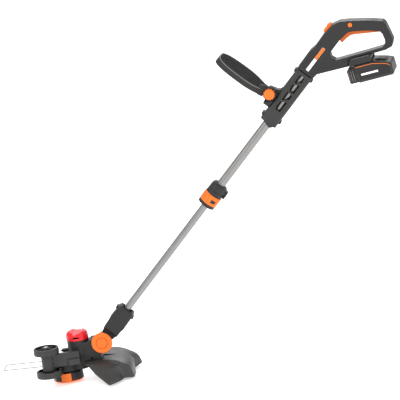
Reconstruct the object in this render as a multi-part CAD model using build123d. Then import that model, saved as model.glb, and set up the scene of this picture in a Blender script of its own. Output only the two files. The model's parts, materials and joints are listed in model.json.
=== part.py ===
from build123d import *
import math
import os

os.makedirs("parts", exist_ok=True)

# ---------------------------------------------------------------- dimensions (mm)
# frame: origin at the centre of the spool cap underside, +Z up the spool axis,
# the shaft lies in the XZ plane, the handle is towards +X, -Y is the near side
TILT_X = 101.0
TILT_Z = 93.0
SHAFT_DEG = 46.2
PACK_DEG = 8.5
PACK_X = 865.0
PACK_Z = 738.5
PACK_HALF_Y = 36.0
GAP = 0.35
RUN = 0.06

LOWER_TUBE_R = 9.15
LOWER_TUBE_WALL = 1.5
LOWER_TUBE_START = 22.0
LOWER_TUBE_END = 600.0
UPPER_TUBE_R = 11.2
UPPER_TUBE_BORE = 9.5
UPPER_TUBE_START = 462.0
UPPER_TUBE_END = 868.0

COLLAR_START = 444.0
RING_START = 452.4
RING_END = 477.9
COLLAR_SPLIT = 478.4
COLLAR_END = 509.0
COLLAR_R = 22.0
RING_R = 23.5
SPIGOT_R = 14.5

SLEEVE_START = 714.0
SLEEVE_END = 873.0
SLEEVE_HALF_N = 22.5
SLEEVE_HALF_Y = 19.0
SLEEVE_WALL = 3.0

HANDLE_HALF_Y = 17.5
HANDLE_WALL = 3.0
TRIGGER_X = 906.5
TRIGGER_Z = 817.0
LOCK_X = 836.0
LOCK_Z = 836.5

AUX_S = 779.0
AUX_N = 41.0
AUX_TIP_N = 197.0
AUX_BAND = 24.0
AUX_BAND_S = 771.0
AUX_HUB_R = 16.5

MOTOR_X = 36.0
TOWER_R = 27.0
TOWER_TOP = 105.0
CAP_R = 28.3
CAP_BOTTOM = 103.5
FEED_TRAVEL = 4.0
EAR_R = 24.0
FAR_EAR_R = 15.0
EAR_IN = 15.0
EAR_OUT = 24.0
KNUCKLE_R = 15.0
PIN_R = 5.0

GEAR_MODULE = 1.2
GEAR_BIG = 40
GEAR_SMALL = 20
CASE_R = 33.5
PINION_CASE_R = 20.0
CASE_BOTTOM = 28.0
CASE_TOP = 44.0
DECK_TOP = 52.0

SPOOL_R = 38.0
SPOOL_TOP = 25.5
CAP_RIM = 5.0

WHEEL_X = -37.6
WHEEL_Y = -55.6
WHEEL_R = 32.0
WHEEL_H = 16.0
WHEEL_LOW = 27.1
WHEEL_HIGH = 85.9
AXLE_R = 3.0
AXLE_POST_R = 15.5

WIRE_R = 1.5
WIRE_Z = 47.0
WIRE_PIVOT_X = 6.0

# screw positions: along and across the shaft, or X and Z
SLEEVE_BOSSES = [(726.0, 22.5), (731.0, -22.0), (865.0, 22.5), (866.0, -22.0)]
COLLAR_SCREW = (493.0, -20.5)
HANDLE_POSTS = [(752, 771), (811, 836), (925, 797), (800, 742)]
HOUSING_BOSSES = [(93.0, 21.0), (93.0, -22.0)]
HEAD_POSTS = [(74.5, 66.0), (74.5, 80.0)]

cd = math.cos(math.radians(SHAFT_DEG))
sd = math.sin(math.radians(SHAFT_DEG))
cp = math.cos(math.radians(PACK_DEG))
sp = math.sin(math.radians(PACK_DEG))


# ---------------------------------------------------------------- helpers
def flat_plane(y=0.0):
    """Sketch plane in X and Z at the given Y; it extrudes towards -Y."""
    return Plane(origin=(0, y, 0), x_dir=(1, 0, 0), z_dir=(0, -1, 0))


def shaft_plane(y=0.0):
    """Sketch plane along the shaft (s, n) measured from the tilt pivot."""
    return Plane(origin=(TILT_X, y, TILT_Z), x_dir=(cd, 0, sd), z_dir=(0, -1, 0))


def pack_plane(y=0.0):
    """Sketch plane along the battery rails (u, w)."""
    return Plane(origin=(PACK_X, y, PACK_Z), x_dir=(cp, 0, sp), z_dir=(0, -1, 0))


def at_shaft(s, n=0.0, y=0.0):
    return Vector(TILT_X + s * cd - n * sd, y, TILT_Z + s * sd + n * cd)


def at_pack(u, w=0.0, y=0.0):
    return Vector(PACK_X + u * cp - w * sp, y, PACK_Z + u * sp + w * cp)


def slab(plane, pts, y0, y1, corner=0.0):
    """Polygon drawn on a sketch plane and filled between two Y values."""
    turn = sum(a[0] * b[1] - b[0] * a[1] for a, b in zip(pts, pts[1:] + pts[:1]))
    if turn < 0:
        pts = pts[::-1]
    face = Polygon(*pts, align=None)
    if corner > 0:
        face = fillet(face.vertices(), corner)
    return extrude(plane(y1) * face, amount=y1 - y0)


def box_on(plane, a0, a1, b0, b1, y0, y1, corner=0.0):
    pts = [(a0, b0), (a1, b0), (a1, b1), (a0, b1)]
    return slab(plane, pts, y0, y1, corner)


def rod(p0, p1, r):
    start = Vector(p0)
    way = Vector(p1) - start
    place = Plane(origin=start, z_dir=way)
    return place * Cylinder(r, way.length, align=(Align.CENTER, Align.CENTER, Align.MIN))


def pipe(p0, p1, r_out, r_in):
    start = Vector(p0)
    way = (Vector(p1) - start).normalized()
    bore = rod(start - way, Vector(p1) + way, r_in)
    return rod(p0, p1, r_out) - bore


def post(x, y, z0, z1, r):
    return rod((x, y, z0), (x, y, z1), r)


def turned(profile, x=0.0, y=0.0):
    """Solid of revolution about a vertical axis; profile is (radius, height)."""
    face = Plane(origin=(x, y, 0), x_dir=(1, 0, 0), z_dir=(0, -1, 0)) * Polygon(*profile, align=None)
    return revolve(face, Axis((x, y, 0), (0, 0, 1)), 360)


def turned_shaft(profile):
    """Solid of revolution about the shaft axis; profile is (s, radius)."""
    face = shaft_plane() * Polygon(*profile, align=None)
    return revolve(face, Axis(at_shaft(0), Vector(cd, 0, sd)), 360)


def half(solid, side):
    """Keep the near (-1) or far (+1) half of a solid."""
    block = Box(2400, 400, 2400, align=(Align.CENTER, Align.MIN if side > 0 else Align.MAX, Align.CENTER))
    return solid & block


def soften(solid, edges, radii):
    """Fillet the edges with the first radius that the shape accepts."""
    for radius in radii:
        try:
            return fillet(edges, radius)
        except Exception:
            continue
    return solid


def spiral(x, y, z0, z1, r, wire_r, turns):
    """Round-wire coil spring with a vertical axis."""
    path = Helix(pitch=(z1 - z0 - 2 * wire_r) / turns, height=z1 - z0 - 2 * wire_r, radius=r)
    start = path @ 0
    profile = Plane(origin=start, z_dir=path % 0) * Circle(wire_r)
    return Pos(x, y, z0 + wire_r) * sweep(profile, path=path)


def keep(node, shape):
    export_step(shape, "parts/" + node + ".step")


# ---------------------------------------------------------------- shaft
def lower_tube():
    return pipe(at_shaft(LOWER_TUBE_START), at_shaft(LOWER_TUBE_END), LOWER_TUBE_R,
                LOWER_TUBE_R - LOWER_TUBE_WALL)


def upper_tube():
    return pipe(at_shaft(UPPER_TUBE_START), at_shaft(UPPER_TUBE_END), UPPER_TUBE_R, UPPER_TUBE_BORE)


def tube_index_plug():
    head = rod(at_shaft(LOWER_TUBE_END + 0.5), at_shaft(LOWER_TUBE_END + 24), LOWER_TUBE_R)
    spigot = rod(at_shaft(LOWER_TUBE_END - 22), at_shaft(LOWER_TUBE_END + 1),
                 LOWER_TUBE_R - LOWER_TUBE_WALL - RUN)
    groove = pipe(at_shaft(LOWER_TUBE_END + 9), at_shaft(LOWER_TUBE_END + 13), 12, LOWER_TUBE_R - 1.2)
    wire_way = rod(at_shaft(LOWER_TUBE_END - 30), at_shaft(LOWER_TUBE_END + 30), 3.0)
    return head + spigot - groove - wire_way


def collar_shell(side):
    """Half of the clamp body on the upper tube, with the spigot that carries the twist ring."""
    body = turned_shaft([(COLLAR_SPLIT, 0), (COLLAR_SPLIT, COLLAR_R), (COLLAR_END - 4, COLLAR_R - 0.6),
                         (COLLAR_END, COLLAR_R - 4), (COLLAR_END, 0)])
    body += rod(at_shaft(COLLAR_START + 2), at_shaft(COLLAR_SPLIT + 1), SPIGOT_R)
    ear = box_on(shaft_plane, 483, 503, -27.5, -14, -8, 8, 3)
    body += ear
    grip = pipe(at_shaft(488), at_shaft(490.5), COLLAR_R + 4, COLLAR_R - 1.2)
    body -= grip
    body -= rod(at_shaft(UPPER_TUBE_START - 0.3), at_shaft(COLLAR_END + 2), UPPER_TUBE_R + 0.03)
    body -= rod(at_shaft(COLLAR_START - 5), at_shaft(UPPER_TUBE_START), LOWER_TUBE_R + GAP)
    body -= rod(at_shaft(*COLLAR_SCREW, -9), at_shaft(*COLLAR_SCREW, 9), 2.05)
    body -= rod(at_shaft(*COLLAR_SCREW, 5.9), at_shaft(*COLLAR_SCREW, 9), 3.8)
    return half(body, side)


def lock_ring():
    ring = pipe(at_shaft(RING_START), at_shaft(RING_END), RING_R, SPIGOT_R + GAP)
    edges = ring.edges().filter_by(GeomType.CIRCLE).filter_by(lambda e: e.radius > RING_R - 1)
    ring = soften(ring, edges, [1.6, 0.8])
    for k in range(12):
        ang = math.radians(30 * k + 15)
        n = (RING_R + 1.2) * math.cos(ang)
        y = (RING_R + 1.2) * math.sin(ang)
        ring -= rod(at_shaft(RING_START + 10, n, y), at_shaft(RING_END - 3, n, y), 2.4)
    return ring


def collar_end_ring():
    ring = pipe(at_shaft(COLLAR_START), at_shaft(RING_START - 0.4), RING_R - 0.7, SPIGOT_R + 0.03)
    edges = ring.edges().filter_by(GeomType.CIRCLE).filter_by(lambda e: e.radius > RING_R - 2)
    return soften(ring, edges, [1.2, 0.6])


# ---------------------------------------------------------------- truss sleeve
def truss_sleeve(side):
    """Half of the plastic sleeve over the upper tube, with four truss windows."""
    outer = box_on(shaft_plane, SLEEVE_START, SLEEVE_END, -SLEEVE_HALF_N, SLEEVE_HALF_N,
                   -SLEEVE_HALF_Y, SLEEVE_HALF_Y)
    long_edges = outer.edges().filter_by(lambda e: e.length > 100)
    outer = soften(outer, long_edges, [9, 6])
    nose = slab(shaft_plane, [(SLEEVE_START - 9, -10), (SLEEVE_START + 1, -19), (SLEEVE_START + 1, 14),
                              (SLEEVE_START - 3, 10)], -14, 14)
    outer += nose
    for s, n in SLEEVE_BOSSES:
        outer += rod(at_shaft(s, n, -9), at_shaft(s, n, 9), 5.2)
    h = SLEEVE_HALF_N - SLEEVE_WALL
    w = SLEEVE_HALF_Y - SLEEVE_WALL
    room = box_on(shaft_plane, SLEEVE_START + 12, SLEEVE_END - 8, -h, h, -w, w)
    outer -= room
    outer -= rod(at_shaft(SLEEVE_START - 20), at_shaft(SLEEVE_END + 5), UPPER_TUBE_R + 0.03)
    windows = [
        [(756, -7.5), (756, 5), (763, 8), (779, 8), (787, -7.5)],
        [(784, 8), (796, -7.5), (808, -7.5), (811, 8)],
        [(815, -7.5), (815, 5), (820, 8), (834, 8), (842, -7.5)],
        [(839, 8), (850, -7.5), (862, -6), (866, 0), (864, 8)],
    ]
    for pts in windows:
        outer -= slab(shaft_plane, pts, -30, 30, 1.6)
    for s, n in SLEEVE_BOSSES:
        outer -= rod(at_shaft(s, n, -4), at_shaft(s, n, 10), 2.05)
        outer -= rod(at_shaft(s, n, 6.2), at_shaft(s, n, 12), 3.8)
    return half(outer, side)


# ---------------------------------------------------------------- handle
def handle_outline():
    pts = [at_plan(SLEEVE_END + 0.3, -22.4), (735.5, 718.5), (819.5, 730.3), (820.5, 747), (880, 756.5),
           (916, 762.5), (933, 770), (938, 786), (924.5, 829), (918, 836.5), (877, 843), (830, 846.5),
           (809, 846.5), (790, 840), (767.5, 820.4), (740, 790), (726.3, 780.8),
           at_plan(SLEEVE_END + 0.3, 24.2)]
    return Polygon(*pts, align=None)


def at_plan(s, n):
    p = at_shaft(s, n)
    return (p.X, p.Z)


def handle_opening():
    pts = [(775.3, 769.5), (777, 756.5), (787, 749.5), (908, 770.5), (916.5, 777), (916.5, 790), (912.8,
                                                                                                  803.5),
           (907, 811.5), (876, 817.2), (839, 818.8), (825, 816.3), (805.5, 801)]
    return Polygon(*pts, align=None)


def handle_shell(side):
    """Half of the D-shaped rear handle, hollow, open at the trigger slot and at the dock."""
    outline = fillet(handle_outline().vertices(), 4.0)
    opening = fillet(handle_opening().vertices(), 3.5)
    skin = extrude(flat_plane(HANDLE_HALF_Y) * (outline - opening), amount=2 * HANDLE_HALF_Y)
    rim = skin.edges().filter_by(lambda e: abs(abs(e.center().Y) - HANDLE_HALF_Y) < 0.01)
    skin = soften(skin, rim, [7.0, 5.5, 4.0, 2.5, 1.5])
    inner = offset(outline, -HANDLE_WALL, kind=Kind.INTERSECTION)
    inner -= offset(opening, HANDLE_WALL, kind=Kind.INTERSECTION)
    hw = HANDLE_HALF_Y - HANDLE_WALL
    room = extrude(flat_plane(hw) * inner, amount=2 * hw)
    shell = skin - room
    # seat for the tube end and ribs across the hollow
    seat = box_on(shaft_plane, SLEEVE_END + 0.3, SLEEVE_END + 8, -19, 19, -hw, hw)
    shell += seat
    shell -= rod(at_shaft(SLEEVE_END - 20), at_shaft(SLEEVE_END + 12), UPPER_TUBE_R + 0.03)
    # screw posts across the hollow
    for x, z in HANDLE_POSTS:
        boss = rod((x, -hw - 0.5, z), (x, hw + 0.5, z), 4.2)
        shell += boss
        shell -= rod((x, -6, z), (x, 30, z), 2.05)
        shell -= rod((x, 11.2, z), (x, 30, z), 3.8)
    # slot for the long trigger in the underside of the grip
    shell -= slab(flat_plane, [(798.5, 793), (798.5, 831), (842, 831), (914.5, 825), (914.5, 805), (842,
                                                                                                    806)],
                  -6.6, 6.6)
    # lock-off button bores
    shell -= rod((LOCK_X, -30, LOCK_Z), (LOCK_X, 30, LOCK_Z), 5.95)
    # bore for the trigger pin
    shell -= rod((TRIGGER_X, -15.5, TRIGGER_Z), (TRIGGER_X, 15.5, TRIGGER_Z), 2.02)
    # pocket for the mode slider
    shell -= box_on(shaft_plane, 978, 1024, 19.3, 40, -9.6, 9.6)
    # window over the dock for its terminals
    shell -= box_on(pack_plane, -35, -17, 10, 19, -8.5, 8.5)
    # badge recess on the near side
    shell -= box_on(shaft_plane, 884, 957, -3.6, 5.2, -30, -HANDLE_HALF_Y + 0.8)
    return half(shell, side)


def badge_strip():
    strip = box_on(shaft_plane, 884.4, 956.6, -3.2, 4.8, -HANDLE_HALF_Y - 0.25, -HANDLE_HALF_Y + 0.8, 1.2)
    return strip


def trigger():
    """Long squeeze lever hinged at the rear end of the grip."""
    pts = [(801.5, 800.5), (808, 790.4), (818.4, 799), (830.8, 806.8), (842, 808.6), (906, 808.3), (911, 812),
           (911, 819), (907, 821), (850, 818.3), (838, 820), (818, 820.5)]
    lever = slab(flat_plane, pts, -6, 6, 1.2)
    eye = rod((TRIGGER_X, -6, TRIGGER_Z), (TRIGGER_X, 6, TRIGGER_Z), 4.0)
    lever += eye
    lever -= rod((TRIGGER_X, -8, TRIGGER_Z), (TRIGGER_X, 8, TRIGGER_Z), 2.0 + RUN)
    return lever


def trigger_pin():
    half_length = HANDLE_HALF_Y - 2
    return rod((TRIGGER_X, -half_length, TRIGGER_Z), (TRIGGER_X, half_length, TRIGGER_Z), 2.0)


def lock_off_button():
    stem = rod((LOCK_X, -20.2, LOCK_Z), (LOCK_X, 16.8, LOCK_Z), 5.55)
    ends = stem.edges().filter_by(GeomType.CIRCLE)
    return soften(stem, ends, [1.2, 0.6])


def mode_slider():
    """Raised thumb slider on the front of the handle body."""
    pts = [(988, 19.9), (1015, 19.9), (1015, 26.5), (1010, 29.4), (1004, 29), (1001.5, 26.4), (998, 29),
           (991, 28.4), (988, 25)]
    return slab(shaft_plane, pts, -9, 9, 0.8)


def switch_unit():
    body = Pos(866, 0, 829.5) * Box(27, 15, 11)
    plunger = Pos(858, 0, 823.2) * Box(4, 3, 1.6)
    for dx in (-8, 0, 8):
        body += Pos(866 + dx, 0, 836.2) * Box(1, 5, 3)
    return body + plunger


def control_board():
    """Circuit board with parts, in the lower arm in front of the dock."""
    board = box_on(pack_plane, -106, -72, 9.0, 10.6, -12, 12)
    for k in range(3):
        board += box_on(pack_plane, -103 + 10 * k, -98 + 10 * k, 10.0, 13.5, -8, -2)
    board += box_on(pack_plane, -102, -78, 10.0, 15.0, 2, 10)
    return board


# ---------------------------------------------------------------- dock and battery
def battery_dock():
    """Rail block under the lower arm; the pack slides in from the rear."""
    block = slab(pack_plane, [(-42, 0.5), (15, 0.5), (15, 14.5), (11, 17.5), (-36, 17.5), (-42, 13)], -33, 33)
    long_edges = block.edges().filter_by(lambda e: e.length > 40 and abs(e.center().Y) > 32)
    block = soften(block, long_edges, [2.5, 1.2])
    neck = box_on(pack_plane, -37, 20, -5, 5.4, -19.5, 19.5)
    flange = box_on(pack_plane, -37, 20, 4.6, 10.8, -25.5, 25.5)
    block -= neck
    block -= flange
    # the lower arm of the handle passes through the top of the block
    arm = slab(flat_plane, [(800, 743.6), (820.5, 746.9), (880, 756.4), (914, 763.9), (914, 800), (800, 800)],
               -HANDLE_HALF_Y - 0.05, HANDLE_HALF_Y + 0.05)
    block -= arm
    for y in (-7, 0, 7):
        block -= box_on(pack_plane, -34, -18, 8, 30, y - 0.5, y + 0.5)
    return block


def dock_terminals():
    blades = None
    for y in (-7, 0, 7):
        blade = box_on(pack_plane, -33, -19, 6.8, 14.0, y - 0.4, y + 0.4)
        blades = blade if blades is None else blades + blade
    return blades


def pack_case():
    """Outside of the pack: main block with a sloping rear top, and a narrower ribbed nose."""
    main = slab(pack_plane, [(-33, -45), (61, -45), (61, -14), (46, -8), (16, 0), (-33, 0)],
                -PACK_HALF_Y, PACK_HALF_Y, 6.0)
    rims = main.edges().filter_by(lambda e: abs(abs(e.center().Y) - PACK_HALF_Y) < 0.01)
    main = soften(main, rims, [4.5, 3, 1.5])
    nose = box_on(pack_plane, -54, -28, -43, -6, -31, 31, 5)
    return main + nose


def pack_room():
    main = slab(pack_plane, [(-30.4, -42.4), (58.4, -42.4), (58.4, -15.6), (45.3, -10.6), (15.5, -2.6),
                             (-30.4, -2.6)], -PACK_HALF_Y + 2.6, PACK_HALF_Y - 2.6)
    nose = box_on(pack_plane, -51.4, -29, -40.4, -8.6, -28.4, 28.4)
    return main + nose


def pack_shell_upper():
    """Upper shell of the pack with the T-shaped rail and the latch pocket."""
    shell = pack_case() - pack_room()
    shell &= box_on(pack_plane, -80, 80, -19.75, 60, -60, 60)
    shell += box_on(pack_plane, -33, 13, -1, 5.0, -19, 19)
    shell += box_on(pack_plane, -33, 13, 5.0, 10.2, -25, 25)
    for y in (-7, 0, 7):
        shell -= box_on(pack_plane, -60, -13.2, 6, 15, y - 1.1, y + 1.1)
    shell += slab(pack_plane, [(17, -15.5), (52, -22.5), (52, -11.5), (17, -1.5)], -17, 17)
    shell -= slab(pack_plane, [(19.5, -12.5), (49.5, -18.7), (49.5, 6), (19.5, 6)], -14.5, 14.5)
    return nose_grooves(shell)


def pack_shell_lower():
    """Lower shell of the pack, ribbed at the front end."""
    shell = pack_case() - pack_room()
    shell &= box_on(pack_plane, -80, 80, -80, -20.05, -60, 60)
    return nose_grooves(shell)


def nose_grooves(shell):
    for k in range(3):
        u = -50.5 + 6 * k
        shell -= box_on(pack_plane, u, u + 3, -38.5, -10.5, 29.7, 40)
        shell -= box_on(pack_plane, u, u + 3, -38.5, -10.5, -40, -29.7)
    for k in range(4):
        w = -38 + 8 * k
        shell -= box_on(pack_plane, -60, -52.8, w, w + 4, -24, 24)
    return shell


def pack_cells():
    """Five round cells: four in the lower row and one above."""
    cells = None
    places = [(-20.5 + 20.2 * k, -32.9) for k in range(4)] + [(-10.4, -14.6)]
    for u, w in places:
        cell = rod(at_pack(u, w, -32.5), at_pack(u, w, 32.5), 9.1)
        cell += rod(at_pack(u, w, -33.2), at_pack(u, w, -32.4), 2.8)
        cells = cell if cells is None else cells + cell
    return cells


def pack_contacts():
    clips = None
    for y in (-7, 0, 7):
        clip = box_on(pack_plane, -16.5, -13.5, 6.1, 9.6, y - 1.08, y + 1.08)
        clips = clip if clips is None else clips + clip
    return clips


def battery_latch():
    """Push latch on top of the rear end of the pack."""
    pts = [(20, -6.0), (49, -12.4), (49, -6.8), (44, -3.4), (27, 1.0), (20, 0.6)]
    latch = slab(pack_plane, pts, -14, 14, 1.0)
    for k in range(4):
        u = 29 + 4.0 * k
        floor = -0.2 - 0.259 * (u - 27)
        latch -= box_on(pack_plane, u, u + 1.4, floor, 8, -11, 11)
    return latch


# ---------------------------------------------------------------- auxiliary handle
def aux_bracket():
    """Saddle and lug on the sleeve that carries the loop handle."""
    floor = SLEEVE_HALF_N + 0.05
    base = slab(shaft_plane, [(749, floor), (803, floor), (796, 33), (791, 50), (779, 56), (767, 50), (758,
                                                                                                       41),
                              (749, 40)], -9.5, 9.5)
    base = base + box_on(shaft_plane, 752, 806, floor, 24.2, -10, 10)
    base = base + slab(shaft_plane, [(749, floor), (769, floor), (752, 40.5), (749, 40)], -18.5, 18.5)
    base -= rod(at_shaft(AUX_S, AUX_N, -20), at_shaft(AUX_S, AUX_N, 20), AXLE_R + RUN)
    return base


def loop_outline(scale_y, inset):
    """Closed outline of the loop in the plane across the shaft: (n, y)."""
    half_w = 41.0 * scale_y - inset
    tip = AUX_TIP_N - inset
    root = 52.0
    shape = [(root, 0.46), (66, 0.55), (84, 0.80), (104, 0.97), (130, 1.0), (155, 0.95), (175, 0.80),
             (189, 0.55)]
    right = [(n if n < 150 else n - inset * 0.6, half_w * f) for n, f in shape]
    left = [(n, -y) for n, y in reversed(right)]
    pts = right + [(tip, 0)] + left
    return pts


def loop_face(s, pts):
    plane = Plane(origin=at_shaft(s), x_dir=(-sd, 0, cd), z_dir=(cd, 0, sd))
    with BuildSketch(plane) as sk:
        with BuildLine():
            Spline(*[(n, -y) for n, y in pts])
            Line((pts[-1][0], -pts[-1][1]), (pts[0][0], -pts[0][1]))
        make_face()
    return sk.sketch


def aux_loop():
    """Loop handle: flared band with two hub cheeks on the pivot bolt."""
    low = AUX_BAND_S - AUX_BAND / 2
    high = AUX_BAND_S + AUX_BAND / 2
    outer = loft([loop_face(low, loop_outline(0.88, 0)), loop_face(high, loop_outline(1.06, 0))], ruled=True)
    inner = loft([loop_face(low - 2, loop_outline(0.88, 5.0)), loop_face(high + 2, loop_outline(1.06, 5.0))],
                 ruled=True)
    band = outer - inner
    band -= box_on(shaft_plane, 700, 850, 0, 60, -60, 60)
    # near cheek on the pivot bolt, its web, and the bridge to the far arm
    y_in = -10.2
    y_out = -22.0
    cheek = rod(at_shaft(AUX_S, AUX_N, y_out), at_shaft(AUX_S, AUX_N, y_in), AUX_HUB_R)
    cheek += slab(shaft_plane, [(764, 36), (795, 40), (791, 60), (783.5, 74), (759.5, 74), (762, 56)], y_out,
                  -13.5)
    cheek += box_on(shaft_plane, 759.5, 780.5, 60, 66, y_out, 22.0)
    band += cheek
    band -= inner & box_on(shaft_plane, 700, 850, 66, 250, -80, 80)
    band -= rod(at_shaft(AUX_S, AUX_N, -40), at_shaft(AUX_S, AUX_N, 40), AXLE_R + 0.02)
    band -= rod(at_shaft(AUX_S, AUX_N, -23), at_shaft(AUX_S, AUX_N, -20.4), 15.6)
    return band


def aux_pivot_bolt():
    shank = rod(at_shaft(AUX_S, AUX_N, -26), at_shaft(AUX_S, AUX_N, 10.5), AXLE_R)
    hexa = Plane(origin=at_shaft(AUX_S, AUX_N, 14.1), x_dir=(cd, 0, sd), z_dir=(0, -1,
                                                                                0)) * RegularPolygon(5.6, 6)
    return shank + extrude(hexa, amount=4.2)


def aux_star_knob():
    knob = rod(at_shaft(AUX_S, AUX_N, -31), at_shaft(AUX_S, AUX_N, -20.9), 14.2)
    ends = knob.edges().filter_by(GeomType.CIRCLE).filter_by(lambda e: e.center().Y < -30)
    knob = soften(knob, ends, [1.5, 0.8])
    for k in range(12):
        ang = math.radians(30 * k)
        s = AUX_S + 15.6 * math.cos(ang)
        n = AUX_N + 15.6 * math.sin(ang)
        knob -= rod(at_shaft(s, n, -33), at_shaft(s, n, -19), 3.0)
    knob -= rod(at_shaft(AUX_S, AUX_N, -28), at_shaft(AUX_S, AUX_N, -18), AXLE_R + RUN)
    return knob


# ---------------------------------------------------------------- lower housing and tilt joint
def lower_housing(side):
    """Half of the housing between the tilt joint and the lower tube."""
    body = slab(shaft_plane, [(30, -21.5), (50, -22), (56, -24), (100, -22.5), (104, -19), (104, 17), (98,
                                                                                                       21),
                              (62, 22), (50, 20), (30, 19)], -20, 20)
    long_edges = body.edges().filter_by(lambda e: abs(abs(e.center().Y) - 20) < 0.01)
    body = soften(body, long_edges, [6, 4, 2])
    body += slab(shaft_plane, [(0, -14.8), (12, -15), (34, -20.5), (34, 18.5), (12, 15), (0, 14.8)], -14.5,
                 14.5)
    body += rod(at_shaft(0, 0, -14.5), at_shaft(0, 0, 14.5), KNUCKLE_R)
    for s, n in HOUSING_BOSSES:
        body += rod(at_shaft(s, n, -9), at_shaft(s, n, 9), 4.6)
    body -= box_on(shaft_plane, 60, 96, -18.5, 16.5, -16.8, 16.8)
    body -= rod(at_shaft(LOWER_TUBE_START - 0.2), at_shaft(120), LOWER_TUBE_R + 0.03)
    body -= rod(at_shaft(0, 0, -20), at_shaft(0, 0, 20), PIN_R + 0.02)
    body -= box_on(shaft_plane, 98, 108, -14, 12, -15, 15)
    body += box_on(shaft_plane, 94, 98, -19, 17, -17, 17) - rod(at_shaft(80), at_shaft(120),
                                                                LOWER_TUBE_R + 0.03)
    for s, n in HOUSING_BOSSES:
        body -= rod(at_shaft(s, n, -4), at_shaft(s, n, 12), 2.05)
        body -= rod(at_shaft(s, n, 6.2), at_shaft(s, n, 12), 3.8)
    return half(body, side)


def pivot_pin():
    return rod(at_shaft(0, 0, -17.4), at_shaft(0, 0, 23.5), PIN_R)


def pivot_button():
    """Large round push button on the tilt axis; pressing it frees the tilt."""
    face = rod(at_shaft(0, 0, -33.0), at_shaft(0, 0, -27.6), 26.3)
    ends = face.edges().filter_by(GeomType.CIRCLE).filter_by(lambda e: e.center().Y < -32)
    face = soften(face, ends, [2.0, 1.0])
    face -= rod(at_shaft(0, 0, -40), at_shaft(0, 0, -31.2), 15.0) - rod(
        at_shaft(0, 0, -40), at_shaft(0, 0, -30), 13.2)
    face += rod(at_shaft(0, 0, -29), at_shaft(0, 0, -21), 8.0)
    return face


def pivot_cap_far():
    cap = rod((TILT_X, EAR_OUT + 0.05, TILT_Z), (TILT_X, EAR_OUT + 5, TILT_Z), 13.0)
    ends = cap.edges().filter_by(GeomType.CIRCLE).filter_by(lambda e: e.center().Y > EAR_OUT + 4)
    return soften(cap, ends, [2.0, 1.0])


# ---------------------------------------------------------------- head
def head_shell(side):
    """Half of the head: gear deck, motor tower, neck and fork ear."""
    body = post(MOTOR_X, 0, CASE_TOP + 0.3, TOWER_TOP, TOWER_R)
    deck = turned([(0, CASE_TOP + 0.3), (CASE_R, CASE_TOP + 0.3), (CASE_R, DECK_TOP), (CASE_R - 6,
                                                                                       DECK_TOP + 5),
                   (0, DECK_TOP + 9)])
    body += deck
    neck = slab(flat_plane, [(40, 50.4), (66.8, 50.4), (67.4, 57.6), (86, 57.6), (90, 63), (80, 96), (79,
                                                                                                      101.5),
                             (66.8, 100.8), (65.6, 97), (40, 97)], -EAR_OUT, EAR_OUT)
    body += neck
    near_ear = slab(flat_plane, [(70, 60), (92, 60), (104, 70), (104, 112), (92, 108), (70, 100)],
                    -EAR_OUT, -EAR_IN)
    near_ear += rod((TILT_X, -EAR_OUT, TILT_Z), (TILT_X, -EAR_IN, TILT_Z), EAR_R)
    far_ear = slab(flat_plane, [(70, 60), (92, 62), (101, 78), (101, 108), (92, 103), (70, 97)],
                   EAR_IN, EAR_OUT)
    far_ear += rod((TILT_X, EAR_IN, TILT_Z), (TILT_X, EAR_OUT, TILT_Z), FAR_EAR_R)
    body += near_ear
    body += far_ear
    # room for the skirt of the red cap over its travel
    body -= pipe((MOTOR_X, 0, CAP_BOTTOM - FEED_TRAVEL - 0.6), (MOTOR_X, 0, 130), CAP_R + 0.4, TOWER_R)
    # fork gap for the knuckle of the lower housing, open over the whole tilt range
    body -= rod((TILT_X, -EAR_IN, TILT_Z), (TILT_X, EAR_IN, TILT_Z), KNUCKLE_R + 1.5)
    body -= slab(flat_plane, [(77.5, 84), (104, 84), (150, 84), (150, 160), (77.5, 160)], -EAR_IN, EAR_IN)
    body -= slab(flat_plane, [(101, 70), (150, 70), (150, 100), (101, 100)], -EAR_IN, EAR_IN)
    # hollows
    room = post(MOTOR_X, 0, CASE_TOP - 1, 95.5, TOWER_R - 2.6)
    room += slab(flat_plane, [(44, 60.5), (70, 60.5), (70, 95.5), (44, 95.5)], -EAR_OUT + 3, EAR_OUT - 3)
    body -= room
    body -= post(MOTOR_X, 0, 98.5, 120, TOWER_R - 2.6)
    # bearings and pockets
    body -= post(0, 0, 30, DECK_TOP + 4.5, 4.0 + RUN)
    body -= rod((TILT_X, -30, TILT_Z), (TILT_X, -17.8, TILT_Z), 8.5)
    body -= rod((TILT_X, -30, TILT_Z), (TILT_X, 30, TILT_Z), PIN_R + RUN)
    body -= rod((WIRE_PIVOT_X, -40, WIRE_Z), (WIRE_PIVOT_X, 40, WIRE_Z), WIRE_R + RUN)
    # seat for the wheel arm on the near side of the tower
    body += box_on(flat_plane, 24, 44, 50, 66, -32.4, -24.9) - post(MOTOR_X, 0, 40, 120, TOWER_R - 2.6)
    # hook on the front of the tower
    hook = slab(flat_plane, [(11, 62), (11, 80), (-8, 79), (-11, 75.5), (-1, 71.5), (2, 66)], -2, 12)
    hook -= post(MOTOR_X, 0, 40, 120, TOWER_R - 2.6)
    body += hook
    # lightening slots behind the tower
    for k in range(4):
        z = 66 + 7 * k
        body -= box_on(flat_plane, 64, 73, z, z + 3.2, EAR_OUT - 1.2, 30)
    for x, z in HEAD_POSTS:
        body -= rod((x, -9, z), (x, 30, z), 1.6)
        body -= rod((x, EAR_OUT - 3.5, z), (x, 30, z), 3.2)
    for x in (72.0, 88.0):
        body -= post(x, 0.0, 50, 66, 1.6)
    return half(body, side)


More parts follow.
